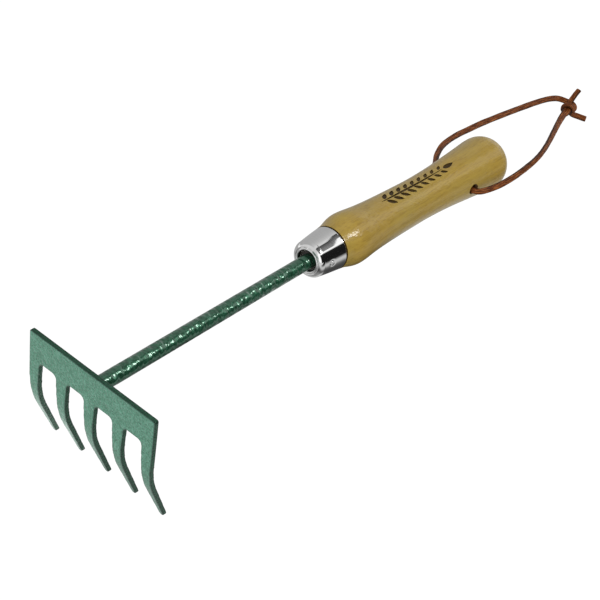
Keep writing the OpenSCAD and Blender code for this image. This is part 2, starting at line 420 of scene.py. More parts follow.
def bare_wood_colour(tree, place, wandering, grain, pores):
    """Pale yellow wood with growth rings, dark pores and broad patches."""
    depth = ramp(tree, grain, [(0.22, 0.0), (0.80, 1.0)])
    colour = mix_colour(tree, (0.368, 0.246, 0.034), (0.436, 0.306, 0.056), depth)
    # growth rings: planes across the billet
    across = mapped(tree, wandering, scale=(3, 95, 95), rotation=(0.35, 0.03, 0.02))
    rings = node(tree, "TexWave", {"Vector": across, "Scale": 1.0, "Distortion": 3.0,
                                   "Detail": 2, "Detail Scale": 0.6},
                 wave_type="BANDS", bands_direction="Z").outputs["Fac"]
    ring_tint = ramp(tree, rings, [(0.0, (0.95, 0.93, 0.88)), (1.0, 1.02)])
    colour = multiply(tree, colour, ring_tint, factor=0.8)
    pore_tint = ramp(tree, pores, [(0.32, (0.66, 0.60, 0.48)), (0.50, 1.0)])
    colour = multiply(tree, colour, pore_tint, factor=0.55)
    # broad patches, some warmer and some greener
    broad = noise_texture(tree, place, scale=26, detail=2)
    patches = ramp(tree, broad, [(0.35, (1.01, 0.965, 0.82)), (0.65, (0.97, 1.01, 1.12))])
    return multiply(tree, colour, patches)


def wood(name, char_and_shade=None):
    """Close-grained hardwood, grain along the grip; `char_and_shade` is a dark pair of
    colours, used for the charred sprig, for painted shadow in the gap behind the ferrule and
    for the dark cross-hole wall.
    """
    made, tree, surface = material(name)
    place = node(tree, "TexCoord").outputs["Object"]
    # slow wander of the grain, 6 mm sideways at most
    wander = noise_texture(tree, place, scale=14, detail=2, output="Color")
    wandering = node(tree, "VectorMath", {0: wander, 1: (0.0, 0.006, 0.006), 2: place},
                     operation="MULTIPLY_ADD").outputs[0]
    grain = noise_texture(tree, mapped(tree, wandering, scale=(14, 300, 300)),
                          scale=1.0, detail=6, roughness=0.62)
    pores = noise_texture(tree, mapped(tree, wandering, scale=(60, 1700, 1700)),
                          scale=1.0, detail=3)
    if char_and_shade:
        colour = ramp(tree, grain, [(0.3, char_and_shade[0]), (0.75, char_and_shade[1])])
    else:
        colour = bare_wood_colour(tree, place, wandering, grain, pores)
    relief = bump(tree, pores, strength=0.10, distance=0.0002)
    relief = bump(tree, grain, strength=0.20, distance=0.0004, normal=relief)
    # the varnish levels most of the grain out
    waves = noise_texture(tree, place, scale=430, detail=2)
    varnish = bump(tree, waves, strength=0.36, distance=0.0008)
    varnish = bump(tree, grain, strength=0.10, distance=0.0004, normal=varnish)
    fill(tree, surface, {
        "Base Color": colour,
        "Roughness": ramp(tree, grain, [(0.3, 0.55), (0.7, 0.42)]),
        "Specular IOR Level": 0.10 if char_and_shade else 0.25,
        "Coat Weight": 0.1 if char_and_shade else 0.75,
        "Coat Roughness": 0.3 if char_and_shade else 0.19,
        "Coat IOR": 1.5,
        "Normal": relief,
        "Coat Normal": varnish,
    })
    return made


def leather():
    """Cut leather lace: waxy, drawn lengthwise, dark along its cut edges, with painted shade
    on the knot's core.
    """
    made, tree, surface = material("leather")
    place = object_place(tree)
    run = node(tree, "Attribute", attribute_name="lace_run").outputs["Vector"]
    fibre = noise_texture(tree, mapped(tree, run, scale=(0.16, 1.9, 1.9)),
                          scale=1.0, detail=5, roughness=0.65)
    patches = noise_texture(tree, place, scale=240, detail=4)
    creases = node(tree, "TexVoronoi", {"Vector": place, "Scale": 1600},
                   feature="DISTANCE_TO_EDGE").outputs["Distance"]
    brown = ramp(tree, fibre, [(0.36, (0.044, 0.009, 0.001)), (0.50, (0.135, 0.033, 0.004)),
                               (0.64, (0.380, 0.130, 0.034))])
    brown = multiply(tree, brown, ramp(tree, patches, [(0.3, 0.82), (0.7, 1.15)]))
    edge = node(tree, "Attribute", attribute_name="lace_edge_and_knot_shade").outputs["Fac"]
    relief = bump(tree, creases, strength=0.20, distance=0.0003)
    relief = bump(tree, fibre, strength=0.45, distance=0.0006, normal=relief)
    relief = bump(tree, patches, strength=0.35, distance=0.0007, normal=relief)
    fill(tree, surface, {
        # darker along the cut edges, and painted shade on the knot's core
        "Base Color": multiply(tree, brown, ramp(tree, edge, [(0.10, 1.0), (0.75, 0.30)])),
        "Roughness": 0.44,
        "Specular IOR Level": 0.16,
        "Normal": relief,
    })
    return made


# painted highlight: a light grey colour on the crests of the turned face inside the ferrule's
# mouth stands in for reflected light; the metallic finish also reflects real light
CREST_HIGHLIGHT = speckled("painted_crest_highlight", scale=700, detail=3,
                  stops=[(0.35, (0.10, 0.10, 0.085)), (0.65, (0.60, 0.62, 0.56))],
                  metallic=0.5, roughness=0.3, strength=0.2, distance=0.0003)
HEAD_PAINT = head_paint()
SHANK_PAINT = shank_paint()
CHROME = chrome()
PIN_STEEL = speckled("pin_steel", scale=1600, detail=4,
                     stops=[(0.3, (0.86, 0.86, 0.85)), (0.7, (0.95, 0.95, 0.95))],
                     metallic=1.0, roughness=0.34, strength=0.15, distance=0.0001)
WOOD = wood("varnished_wood")
# charred colours: the burnt sprig, and painted shadow in the gap behind the ferrule
BURNT_WOOD_AND_GAP_SHADE = wood("burnt_wood_and_gap_shade", char_and_shade=((0.0161, 0.009, 0.001), (0.085, 0.048, 0.008)))
# dark brown for the cross-hole's wall and eased rim
DARK_HOLE_WOOD = wood("dark_hole_wood", char_and_shade=((0.050, 0.024, 0.007), (0.120, 0.062, 0.018)))
LEATHER = leather()
# near-black: the hidden resin round the tang, and painted shade on the spigot's face inside
# the ferrule's mouth
RESIN_AND_MOUTH_SHADE = speckled("resin", scale=500, detail=3,
                 stops=[(0.3, (0.006, 0.005, 0.004)), (0.7, (0.022, 0.016, 0.012))],
                 metallic=0.0, roughness=0.18, strength=0.3, distance=0.0003)


# ---------------------------------------------------------------- rake head
def build_head():
    """The CAD plate, rounded over on every edge as thick paint rounds it."""
    mesh = NODES["rake_head"].data.copy()
    mesh.materials.clear()
    plate = bpy.data.objects.new("tine_plate", mesh)
    scene.collection.objects.link(plate)
    with editing(mesh) as edit:
        bmesh.ops.remove_doubles(edit, verts=edit.verts, dist=1e-6)
        bmesh.ops.recalc_face_normals(edit, faces=edit.faces)
    if mesh.attributes.get("custom_normal"):
        mesh.attributes.remove(mesh.attributes["custom_normal"])
    remesh = plate.modifiers.new("remesh", "REMESH")
    remesh.mode = "VOXEL"
    remesh.voxel_size = 0.00034
    smooth = plate.modifiers.new("smooth", "SMOOTH")
    smooth.factor = 0.5
    smooth.iterations = 9
    apply_modifiers(plate)
    return plate


def build_weld():
    """Weld metal between the bar and the plate, uneven as a hand-laid bead is."""
    sides, steps = 96, 12
    plate_x = 2.62                   # where the bead meets the plate
    bead_r, inner_r = 3.7, 3.5       # bead's foot on the bar, and its hidden inner ring
    verts, faces = [], []
    for i in range(steps + 1):
        t = i / steps
        for k in range(sides):
            a = 2 * math.pi * k / sides
            lump = (0.16 * math.sin(5 * a + 0.7) + 0.10 * math.sin(11 * a + 2.1)
                    + 0.07 * math.sin(17 * a))
            r = bead_r + (1.75 + lump) * math.cos(t * math.pi / 2) ** 0.9 + 0.28 * (1 - t)
            x = plate_x + (1.95 + 0.6 * lump) * math.sin(t * math.pi / 2)
            verts.append((x, r * math.cos(a), r * math.sin(a)))
    verts += ring_verts([(plate_x, inner_r)], sides)
    last, inner = steps * sides, (steps + 1) * sides
    for i in range(steps):
        faces += band(i * sides, (i + 1) * sides, sides)
    for pair in zip(band(inner, 0, sides), band(last, inner, sides)):
        faces += pair
    return solid("weld_fillet", verts, faces)


# ---------------------------------------------------------------- shank
BAR_R = 4.0
BAR_START = 2.72
TANG_END = MOUTH[0] + 66


def build_shank():
    """Round bar with the slow ripple that thick hammered paint leaves."""
    profile = [(BAR_START, 0.0), (BAR_START + 0.001, 3.9)]
    profile += [(x, BAR_R) for x in np.arange(3.0, 151.0, 0.5)]
    profile += [(x, BAR_R) for x in np.arange(151.0, TANG_END - 2, 3.0)]
    profile += [(TANG_END - 2, BAR_R), (TANG_END - 1, 3.4), (TANG_END, 2.8),
                (TANG_END + 0.001, 0.0)]
    verts, faces = lathe_solid(profile, 72)
    r = np.hypot(verts[:, 1], verts[:, 2])
    painted = (verts[:, 0] > 3.0) & (verts[:, 0] < 150) & (r > 3.95)
    for i in np.nonzero(painted)[0]:
        p = Vector(verts[i])
        ripple = (noise.noise(p * 0.55) * 0.020
                  + noise.noise(p * 1.25 + Vector((7, 3, 1))) * 0.016)
        verts[i, 1:] *= (r[i] + ripple - 0.02) / r[i]
    return solid("bar", verts, faces)


# ---------------------------------------------------------------- ferrule
FERRULE_LENGTH = 18.06
FERRULE_WALL = 0.9
MOUTH_R = 5.97
SHOULDER_R = 3.2                     # rounding between the front face and the barrel
FRONT_R = 10.18                      # barrel behind the shoulder
REAR_R = 11.87                       # barrel at the rear rim
BELLY = 0.10                         # swell of the barrel's middle
LIP_R = 0.52                         # rolled lip round the mouth


def ferrule_r(x):
    """Outer radius of the barrel, without its belly."""
    return FRONT_R + (REAR_R - FRONT_R) * (x - SHOULDER_R) / (FERRULE_LENGTH - SHOULDER_R)


# the nail goes in on the -Y side, slightly above the middle
PIN_X = 8.4
PIN_ROLL = math.radians(4.2)
PIN_OUT = np.array([0, -math.cos(PIN_ROLL), math.sin(PIN_ROLL)])
PIN_SEAT = np.array([PIN_X, 0, 0]) + ferrule_r(PIN_X) * PIN_OUT


def build_ferrule():
    # rolled lip standing just proud of the front face, and the groove round it
    profile = arc(0.46, MOUTH_R + LIP_R, LIP_R, LIP_R, -60, -250, 22)
    profile += [(0.74, MOUTH_R + 1.10), (0.80, MOUTH_R + 1.20), (0.62, MOUTH_R + 1.32),
                (0.20, MOUTH_R + 1.50)]
    # rounded shoulder
    profile += arc(SHOULDER_R, FRONT_R - SHOULDER_R, -SHOULDER_R, SHOULDER_R, 15, 90, 34)
    # barrel with a slight belly, as spinning leaves it
    for x in np.linspace(SHOULDER_R + 0.25, FERRULE_LENGTH - 0.45, 60):
        q = (x - SHOULDER_R) / (FERRULE_LENGTH - SHOULDER_R)
        profile.append((x, ferrule_r(x) + BELLY * 4 * q * (1 - q)))
    # rounded rear rim
    half = FERRULE_WALL / 2
    profile += arc(FERRULE_LENGTH - half, ferrule_r(FERRULE_LENGTH) - half,
                   half, half, 80, -80, 9)
    # inside, forwards to the mouth
    for x in np.linspace(FERRULE_LENGTH - 0.5, SHOULDER_R, 20):
        profile.append((x, ferrule_r(x) - FERRULE_WALL))
    inner_r = SHOULDER_R - FERRULE_WALL
    profile += arc(SHOULDER_R, FRONT_R - SHOULDER_R, -inner_r, inner_r, 84, 4, 14)
    profile.append((FERRULE_WALL + 0.1, MOUTH_R + 0.75))
    verts, faces = lathe_ring(profile, 288)
    # punched seat, its deepest point a little forward of the nail and above it
    distance = np.linalg.norm(verts - PIN_SEAT - np.array([-0.40, 0, 0.40]), axis=1)
    depth = np.exp(-(distance / 1.55) ** 3) * 0.50
    outer = (np.hypot(verts[:, 1], verts[:, 2]) > 9)
    verts[outer] -= PIN_OUT * depth[outer][:, None]
    return solid("ferrule_shell", from_grip(verts), faces)


def build_pin():
    """Nail with a low domed head that sits in the punched seat."""
    head_r = 1.02
    # the profile's x runs inwards from just under the ferrule's surface
    profile = [(-0.12, 0.0)]
    profile += arc(0.22, 0.0, -0.34, head_r, 8, 90, 12)
    profile += [(0.48, head_r), (0.60, 0.9), (0.66, 0.62), (3.6, 0.60), (4.1, 0.25),
                (4.15, 0.0)]
    verts, faces = lathe_solid(profile, 40)
    inward = -PIN_OUT
    along = np.array([1.0, 0, 0])
    across = np.cross(inward, along)
    start = PIN_SEAT + inward * 0.02
    placed = start + verts[:, :1] * inward + verts[:, 1:2] * along + verts[:, 2:3] * across
    return solid("ferrule_nail", from_grip(placed), faces)


# ---------------------------------------------------------------- grip
GRIP_LENGTH = 172.42
DOME_LENGTH = 14.18                  # domed butt, half an ellipsoid
BUTT_R = 16.05
SPAN = GRIP_LENGTH - DOME_LENGTH     # where the dome starts

# outline behind the ferrule: (distance behind the mouth, radius)
GRIP_STATIONS = [
    (FERRULE_LENGTH, 12.0), (20.5, 12.2), (23.3, 12.68), (26.8, 13.68), (30, 14.37),
    (33, 14.55), (37, 14.35), (44.4, 13.63), (53.3, 13.07), (64, 12.67), (79, 12.35),
    (93, 12.18), (106.7, 12.48), (119, 13.1), (131, 14.0), (145, 15.1),
    (SPAN - 4, 15.93), (SPAN, BUTT_R),
]

# flat face of the spigot inside the mouth, with turning marks standing forward of it
SPIGOT_X = 2.4
MARK_START, MARK_PITCH, MARK_HEIGHT = 4.64, 0.5, 0.13
MARK_CREST_X = 2.312                 # the painted highlight colour goes on faces forward of this

# spigot from its face back to the edge of the grip behind the ferrule: (x, radius)
SPIGOT_PROFILE = [
    (SPIGOT_X, 6.5), (SPIGOT_X, 8.4), (2.9, 9.0), (3.6, 9.26), (10, 9.26 + 0.73),
    (17.6, ferrule_r(17.6) - FERRULE_WALL - 0.02), (18.07, 10.95), (18.12, 11.22),
    (18.50, 11.36), (18.78, 11.50), (18.86, 11.97),
]


def grip_r(x):
    """Cubic through the stations, level at both ends."""
    x = float(x)
    table = GRIP_STATIONS
    k = max(i for i in range(len(table) - 1) if table[i][0] <= x + 1e-9)

    def slope(j):
        if j == 0 or j == len(table) - 1:
            return 0.0
        return (table[j + 1][1] - table[j - 1][1]) / (table[j + 1][0] - table[j - 1][0])

    step = table[k + 1][0] - table[k][0]
    t = (x - table[k][0]) / step
    t2, t3 = t * t, t * t * t
    return ((2 * t3 - 3 * t2 + 1) * table[k][1] + (t3 - 2 * t2 + t) * step * slope(k)
            + (3 * t2 - 2 * t3) * table[k + 1][1] + (t3 - t2) * step * slope(k + 1))


def grip_surface(x, angle, above):
    """Point above the grip's surface, at an angle from +Z towards -Y."""
    r = grip_r(x) + above
    return (x, -r * math.sin(angle), r * math.cos(angle))


def leaf_cutter(base, tip, width, steps=14):
    """Closed leaf-shaped solid that follows the grip; base and tip are (x, arc length)."""
    sink, stand, columns = 0.38, 1.2, 5
    length = math.hypot(tip[0] - base[0], tip[1] - base[1])
    run_x, run_y = (tip[0] - base[0]) / length, (tip[1] - base[1]) / length
    verts, faces = [], []
    for above in (-sink, stand):
        for i in range(steps + 1):
            t = i / steps
            half = width * (math.sin(math.pi * t ** 0.80) ** 0.85) * 0.5 + 0.10
            for c in range(columns):
                side = (c / (columns - 1) * 2 - 1) * half
                x = base[0] + run_x * length * t - run_y * side
                y = base[1] + run_y * length * t + run_x * side
                verts.append(grip_surface(x, y / grip_r(x), above))
    layer = (steps + 1) * columns
    for start in (0, layer):
        for i in range(steps):
            for c in range(columns - 1):
                a = start + i * columns + c
                faces.append((a, a + 1, a + columns + 1, a + columns))
    for i in range(steps):
        for c in (0, columns - 1):
            a = i * columns + c
            faces.append((a, a + columns, a + columns + layer, a + layer))
    for c in range(columns - 1):
        for i in (0, steps):
            a = i * columns + c
            faces.append((a, a + 1, a + 1 + layer, a + layer))
    return verts, faces


def sprig_cutters():
    """A leaf sprig on top of the grip: a stem, an end leaf and nine pairs of leaves."""
    middle = 0.35                    # arc length from the top towards -Y
    start, end = 59.0, 123.5
    shapes = [leaf_cutter((start, middle), (end - 9.0, middle), width=1.15, steps=60),
              leaf_cutter((end - 8.2, middle), (end + 0.6, middle), width=2.9, steps=18)]
    for i, x in enumerate(np.linspace(start + 3.0, end - 12.0, 9)):
        size = 1.0 - 0.035 * i
        for side in (-1, 1):
            shapes.append(leaf_cutter((x, middle + side * 0.95),
                                      (x + 5.6 * size, middle + side * 4.7 * size),
                                      width=2.35 * size))
    verts, faces = [], []
    for shape_verts, shape_faces in shapes:
        offset = len(verts)
        verts += shape_verts
        faces += [tuple(i + offset for i in face) for face in shape_faces]
    return verts, faces


def grip_cutters():
    """The tang's bore, the cross-hole and the sprig, each with the material it leaves."""
    bore_verts, bore_faces = lathe_solid(
        [(145.0, 0), (145.0, 4.5), (213.6, 4.5), (213.6, 0)], 64)
    bore = solid("bore_cutter", bore_verts, bore_faces)
    bore.data.materials.append(WOOD)

    hole_r, ease, grip_half = 2.85, 0.8, 14.0
    half = [(-25, 0), (-25, 6.0), (-grip_half - 1.2, 5.0)]
    for a in np.linspace(0, 90, 8):  # eased rim
        t = math.radians(a)
        half.append((-grip_half - 0.1 + ease * math.sin(t),
                     hole_r + ease * (1 - math.sin(t))))
    profile = half + [(0, hole_r)] + [(-x, r) for x, r in reversed(half)]
    verts, hole_faces = lathe_solid(profile, 64)
    # turned to run along Y
    placed = np.stack([HOLE_X + verts[:, 1], verts[:, 0], verts[:, 2]], 1)
    hole = solid("hole_cutter", from_grip(placed), hole_faces)
    # dark brown on the cross-hole's wall and its eased rim
    hole.data.materials.append(DARK_HOLE_WOOD)

    sprig_verts, sprig_faces = sprig_cutters()
    sprig = solid("sprig_cutter", from_grip(sprig_verts), sprig_faces)
    sprig.data.materials.append(BURNT_WOOD_AND_GAP_SHADE)
    return bore, hole, sprig


def build_grip():
    """Spigot inside the ferrule, then the visible grip, then the domed butt."""
    profile = [(SPIGOT_X, 0.0), (SPIGOT_X, 4.62)]
    for r in np.arange(4.74, 6.35, 0.1):
        wave = 0.5 - 0.5 * math.cos(2 * math.pi * (r - MARK_START) / MARK_PITCH)
        profile.append((SPIGOT_X - MARK_HEIGHT * wave, float(r)))
    profile += SPIGOT_PROFILE
    profile += [(x, grip_r(x)) for x in np.arange(19.1, SPAN, 0.85)]
    for a in np.linspace(0, 88, 30):
        t = math.radians(a)
        profile.append((SPAN + DOME_LENGTH * math.sin(t), BUTT_R * math.cos(t)))
    profile.append((GRIP_LENGTH, 0.0))
    verts, faces = lathe_solid(profile, 200)
    grip = solid("turned_grip", from_grip(verts), faces)

    for each in (WOOD, BURNT_WOOD_AND_GAP_SHADE, RESIN_AND_MOUTH_SHADE, CREST_HIGHLIGHT):
        grip.data.materials.append(each)
    gap_shade, resin, crest_glint = 1, 2, 3
    centres = np.array([face.center for face in grip.data.polygons]) * 1000 - MOUTH
    centre_x = centres @ GRIP_X
    centre_r = np.hypot(centres @ GRIP_Y, centres @ GRIP_Z)
    for face, x, r in zip(grip.data.polygons, centre_x, centre_r):
        # painted highlight on the crests of the turning marks
        if x < MARK_CREST_X and 4.6 < r < 6.4:
            face.material_index = crest_glint
        # painted shade: the rest of the spigot's face inside the mouth takes the near-black
        # resin colour
        elif x < 6:
            face.material_index = resin
        # painted shadow in the narrow gap behind the ferrule, in the charred colours
        elif 18.0 < x < 18.84:       # narrow band just behind the ferrule
            face.material_index = gap_shade

    cutters = grip_cutters()
    for cutter in cutters:
        cut = grip.modifiers.new("cut", "BOOLEAN")
        cut.operation = "DIFFERENCE"
        cut.solver = "EXACT"
        cut.object = cutter
        cut.material_mode = "TRANSFER"
    apply_modifiers(grip)
    clear_slivers(grip)
    for cutter in cutters:
        mesh = cutter.data
        bpy.data.objects.remove(cutter)
        bpy.data.meshes.remove(mesh)
    return grip


# ---------------------------------------------------------------- thong
# The lace in the order it runs. Its roll, in degrees, is 0 where the broad face is turned
# to the camera and 90 where the edge is.

# from a cut end into the knot: (right, up, near, roll), offsets from the knot
FIRST_TAIL = [
    (6.8, 11.2, -0.15, -48), (5.6, 9.7, -0.3, -46), (4.4, 8.2, -0.5, -44),
    (3.1, 6.4, -0.8, -40), (1.9, 4.6, -1.1, -30), (0.8, 2.6, -0.8, -15),
    (-0.2, 0.7, 0.4, 10), (-1.0, -0.9, 1.9, 0), (-1.7, -2.4, 3.3, 0), (-2.7, -3.9, 5.2, 5),
]
# the loop: (out from the hole, y, lift, roll)
LOOP = [
    # leg on the -Y side, from the knot to the hole
    (114.6, -2.7, 0, 8), (105.7, -5.3, 0, 20), (93.5, -9.4, 0, 36), (81.0, -13.7, 0, 50),
    (67.6, -17.7, 0, 50), (55.6, -20.1, 0, 42), (43.5, -21.3, 0, 34), (31.9, -21.9, 0, 25),
    (21.9, -21.7, -0.1, 18), (13.8, -20.9, -0.2, 10), (6.9, -19.3, -0.4, 5),
    (2.4, -17.3, -0.7, 5), (0.5, -14.4, -0.8, 10),
    # through the hole
    (0.2, -9, -0.8, 15), (0.2, -3, -0.8, 20), (0.2, 3, -0.8, 25), (0.2, 9, -0.5, 30),
    (0.2, 13.2, -0.5, 40),
    # leg on the +Y side, back to the knot
    (1.8, 15.3, 0, 50), (5.1, 16.9, 0, 48), (10.0, 19.9, 0, 40), (15.9, 22.6, 0, 30),
    (23.1, 25.0, 0, 22), (31.2, 26.1, 0, 15), (40.7, 26.3, 0, 10), (50.2, 25.6, 0, 8),
    (61.7, 24.7, 0, 8), (72.7, 23.3, 0, 8), (84.5, 21.6, 0, 8), (98.1, 19.4, 0, 8),
    (111.7, 17.0, 0, 10), (122.0, 14.4, 0, 12), (127.8, 11.4, 0, 14), (129.8, 7.8, 0, 14),
]
# round the back of the knot and across its front: (right, up, near)
WRAP = [
    (1.2, 3.4, -2.9), (3.1, 1.9, -1.5), (3.8, -0.3, -0.9), (2.6, -2.3, -1.8),
    (0.0, -2.7, -2.4), (-2.6, -1.6, -1.5), (-3.7, -0.4, 0.4), (-2.7, 0.6, 2.3),
    (-0.8, 0.8, 3.3), (0.9, 0.0, 3.5), (1.8, -1.4, 2.8), (1.7, -2.7, 1.2),
]
# from the knot to the other cut end: (right, up, near)
SECOND_TAIL = [
    (1.9, -3.7, -0.5), (3.7, -4.6, -0.9), (5.9, -5.4, -0.7), (8.4, -6.4, -0.4),
    (11.13, -7.4, -0.06),
]
SECOND_TAIL_ROLL = 20
CURVE_STEPS = 7                      # curve points per station
LACE_STEP = 0.34                     # spacing of the lace's rings
LACE_SIDES = 28
LACE_HALF_WIDTH = 1.78
LACE_HALF_THICKNESS = 1.02

# run of the wrapped strand through the knot
STRAND_RUN = 0.33 * VIEW_RIGHT + 0.78 * VIEW_UP + 0.53 * VIEW_AHEAD
STRAND_RUN /= np.linalg.norm(STRAND_RUN)


def smoothstep(low, high, x):
    t = np.clip((x - low) / (high - low), 0, 1)
    return t * t * (3 - 2 * t)


def unit_rows(rows):
    return rows / np.linalg.norm(rows, axis=1)[:, None]


def curve_through(points):
    """Catmull-Rom curve through rows of values."""
    P = np.asarray(points, float)
    curve = []
    for i in range(len(P) - 1):
        p0, p1, p2, p3 = P[max(i - 1, 0)], P[i], P[i + 1], P[min(i + 2, len(P) - 1)]
        for k in range(CURVE_STEPS):
            t = k / CURVE_STEPS
            curve.append(0.5 * ((2 * p1) + (-p0 + p2) * t
                                + (2 * p0 - 5 * p1 + 4 * p2 - p3) * t * t
                                + (-p0 + 3 * p1 - 3 * p2 + p3) * t ** 3))
    curve.append(P[-1])
    return np.array(curve)


def lace_centreline():
    """Evenly spaced lengths and points, with the roll, wrap and flare at each."""
    stations = [(knot_point(*place), roll) for *place, roll in FIRST_TAIL]
    stations += [(loop_point(*place), roll) for *place, roll in LOOP]
    wrap_start = len(stations)
    stations += [(knot_point(*place), 0) for place in WRAP]
    wrap_end = len(stations)
    stations += [(knot_point(*place), SECOND_TAIL_ROLL) for place in SECOND_TAIL]
    curve = curve_through([place for place, _ in stations])
    roll = curve_through([[roll] for _, roll in stations])[:, 0]

    station = np.arange(len(curve)) / CURVE_STEPS
    # 1 inside the wrap, 0 elsewhere
    wrap = (smoothstep(wrap_start - 0.5, wrap_start + 1.5, station)
            * (1 - smoothstep(wrap_end - 1.6, wrap_end + 0.6, station)))
    # 1 where the wrapped strand spreads, fading quicker towards its cut end
    flare_at = len(FIRST_TAIL) - 2
    flare = np.where(station < flare_at, np.exp(-((station - flare_at) / 1.1) ** 2),
                     np.exp(-((station - flare_at) / 1.9) ** 2))

    steps = np.linalg.norm(np.diff(curve, axis=0), axis=1)
    measured = np.concatenate([[0], np.cumsum(steps)])
    run = np.arange(0, measured[-1], LACE_STEP)
    centre = np.stack([np.interp(run, measured, curve[:, k]) for k in range(3)], 1)
    roll, wrap, flare = (np.interp(run, measured, v) for v in (roll, wrap, flare))
    return run, centre, roll, wrap, flare


def lace_directions(centre, roll, wrap):
    """Unit vectors along the lace, and across its broad face."""
    along = unit_rows(np.gradient(centre, axis=0))
    view = unit_rows(VIEWPOINT - centre)
    # across both the view and the run when the broad face is turned to the camera
    level = unit_rows(np.cross(along, view))
    turn = np.radians(roll)
    rolled = np.cos(turn)[:, None] * level + np.sin(turn)[:, None] * np.cross(level, along)
    # in the wrap the width runs along the wrapped strand
    wrapped = unit_rows(STRAND_RUN - (along @ STRAND_RUN)[:, None] * along)

    # carry one continuous frame along, so that the lace never flips
    frames = [rolled[0]]
    for i in range(1, len(centre)):
        last, T = frames[-1], along[i]
        want = -rolled[i] if last @ rolled[i] < 0 else rolled[i]
        in_wrap = wrapped[i] if last @ wrapped[i] >= 0 else -wrapped[i]
        target = want * (1 - wrap[i]) + in_wrap * wrap[i]
        carried = last - (last @ T) * T
        carried /= np.linalg.norm(carried)
        target = target - (target @ T) * T
        target /= max(1e-6, np.linalg.norm(target))
        current = carried * 0.80 + target * 0.20
        current /= np.linalg.norm(current)
        frames.append(current)
    across = np.array(frames)
    for _ in range(12):
        across[1:-1] = (across[:-2] + 2 * across[1:-1] + across[2:]) / 4
        across -= np.sum(across * along, axis=1)[:, None] * along
        across = unit_rows(across)
    return along, across


def lace_skin(run, centre, across, through, wrap, flare):
    """Rings round the lace, as (point, edge, run) for each vertex."""
    skin = []
    for i, s in enumerate(run):
        p = Vector(centre[i] * 0.13)
        half_w = LACE_HALF_WIDTH * (1 + 0.05 * noise.noise(p)) - 0.10 * wrap[i]
        half_t = LACE_HALF_THICKNESS * (1 + 0.06 * noise.noise(p * 1.7 + Vector((5, 5, 5))))
        shift = 0.10 * noise.noise(p * 2.1 + Vector((9, 1, 4)))
        # the strand spreads where the wrap grips it, and the wrap itself is thicker
        half_w *= 1 + 0.42 * flare[i]
        half_t *= 1 + 0.35 * flare[i] + 0.30 * wrap[i]
        # rounded off over the last half millimetre at each cut end
        to_end = min(s, run[-1] - s)
        if to_end < 0.5:
            taper = 0.90 + 0.10 * math.sqrt(max(0, 1 - (1 - to_end / 0.5) ** 2))
            half_w, half_t = half_w * taper, half_t * taper
        for j in range(LACE_SIDES):
            a = 2 * math.pi * j / LACE_SIDES
            c, sn = math.cos(a), math.sin(a)
            # a power of about a half squares the oval up
            x = math.copysign(abs(c) ** 0.52, c)
            y = math.copysign(abs(sn) ** 0.52, sn)
            dish = -0.10 * (1 - x * x) * (1 if y > 0 else 0)
            point = (centre[i] + across[i] * (x * half_w)
                     + through[i] * (y * half_t + dish + shift))
            skin.append((point, max(0.0, (abs(x) - 0.72) / 0.28),
                         (s, x * half_w, y * half_t)))
    return skin


def add_cut_face(skin, faces, base, middle, outward, length, flip):
    """Close the ring that starts at `base` with two smaller rings and a centre point."""
    cut_edge = 0.75
    centre = middle + outward * 0.06
    rings = [base]
    for size in (0.66, 0.33):
        rings.append(len(skin))
        for j in range(LACE_SIDES):
            point = centre + (skin[base + j][0] - middle) * size
            skin.append((point, cut_edge, (length, 0.0, size * 2)))
    tip = len(skin)
    skin.append((centre, cut_edge, (length, 0.0, 0.0)))
    for outer, inner in zip(rings, rings[1:]):
        quads = band(outer, inner, LACE_SIDES)
        faces += [(b, a, d, c) for a, b, c, d in quads] if flip else quads
    for j in range(LACE_SIDES):
        a, b = rings[-1] + j, rings[-1] + (j + 1) % LACE_SIDES
        faces.append((b, a, tip) if flip else (a, b, tip))


def add_knot_core(skin, faces):
    """Lumpy ball of lace packed into the middle of the knot."""
    start = len(skin)
    rows, sides = 14, 24
    for i in range(rows + 1):
        polar = math.pi * i / rows
        for j in range(sides):
            turn = 2 * math.pi * j / sides
            d = np.array([math.sin(polar) * math.cos(turn),
                          math.sin(polar) * math.sin(turn), math.cos(polar)])
            r = 2.5 * (1 + 0.12 * noise.noise(Vector(d * 1.6)))
            point = KNOT + r * (d[0] * VIEW_RIGHT * 0.95 + d[1] * VIEW_UP * 0.95
                                + d[2] * VIEW_AHEAD) - 0.2 * VIEW_AHEAD
            # 0.6 on the edge scale darkens the core: painted shade in the middle of the knot
            skin.append((point, 0.6, (i * 0.6, j * 0.5, 0.0)))
    for i in range(rows):
        faces += band(start + i * sides, start + (i + 1) * sides, sides)


def build_thong():
    run, centre, roll, wrap, flare = lace_centreline()
    along, across = lace_directions(centre, roll, wrap)
    skin = lace_skin(run, centre, across, np.cross(along, across), wrap, flare)
    faces = []
    last = len(run) - 1
    for i in range(last):
        faces += band(i * LACE_SIDES, (i + 1) * LACE_SIDES, LACE_SIDES)
    # both cut faces carry the lace's full length as their run
    add_cut_face(skin, faces, 0, centre[0], -along[0], run[-1], flip=True)
    add_cut_face(skin, faces, last * LACE_SIDES, centre[last], along[last], run[-1],
                 flip=False)
    add_knot_core(skin, faces)
    points, edges, runs = zip(*skin)
    lace = mesh_object("lace", points, faces)
    edge_layer = lace.data.attributes.new("lace_edge_and_knot_shade", "FLOAT", "POINT")
    edge_layer.data.foreach_set("value", np.array(edges, np.float32))
    run_layer = lace.data.attributes.new("lace_run", "FLOAT_VECTOR", "POINT")
    run_layer.data.foreach_set("vector", np.array(runs, np.float32).ravel())
    with editing(lace.data) as edit:  # merges the core's poles
        bmesh.ops.remove_doubles(edit, verts=edit.verts, dist=1e-7)
    face_outward(lace)
    return lace


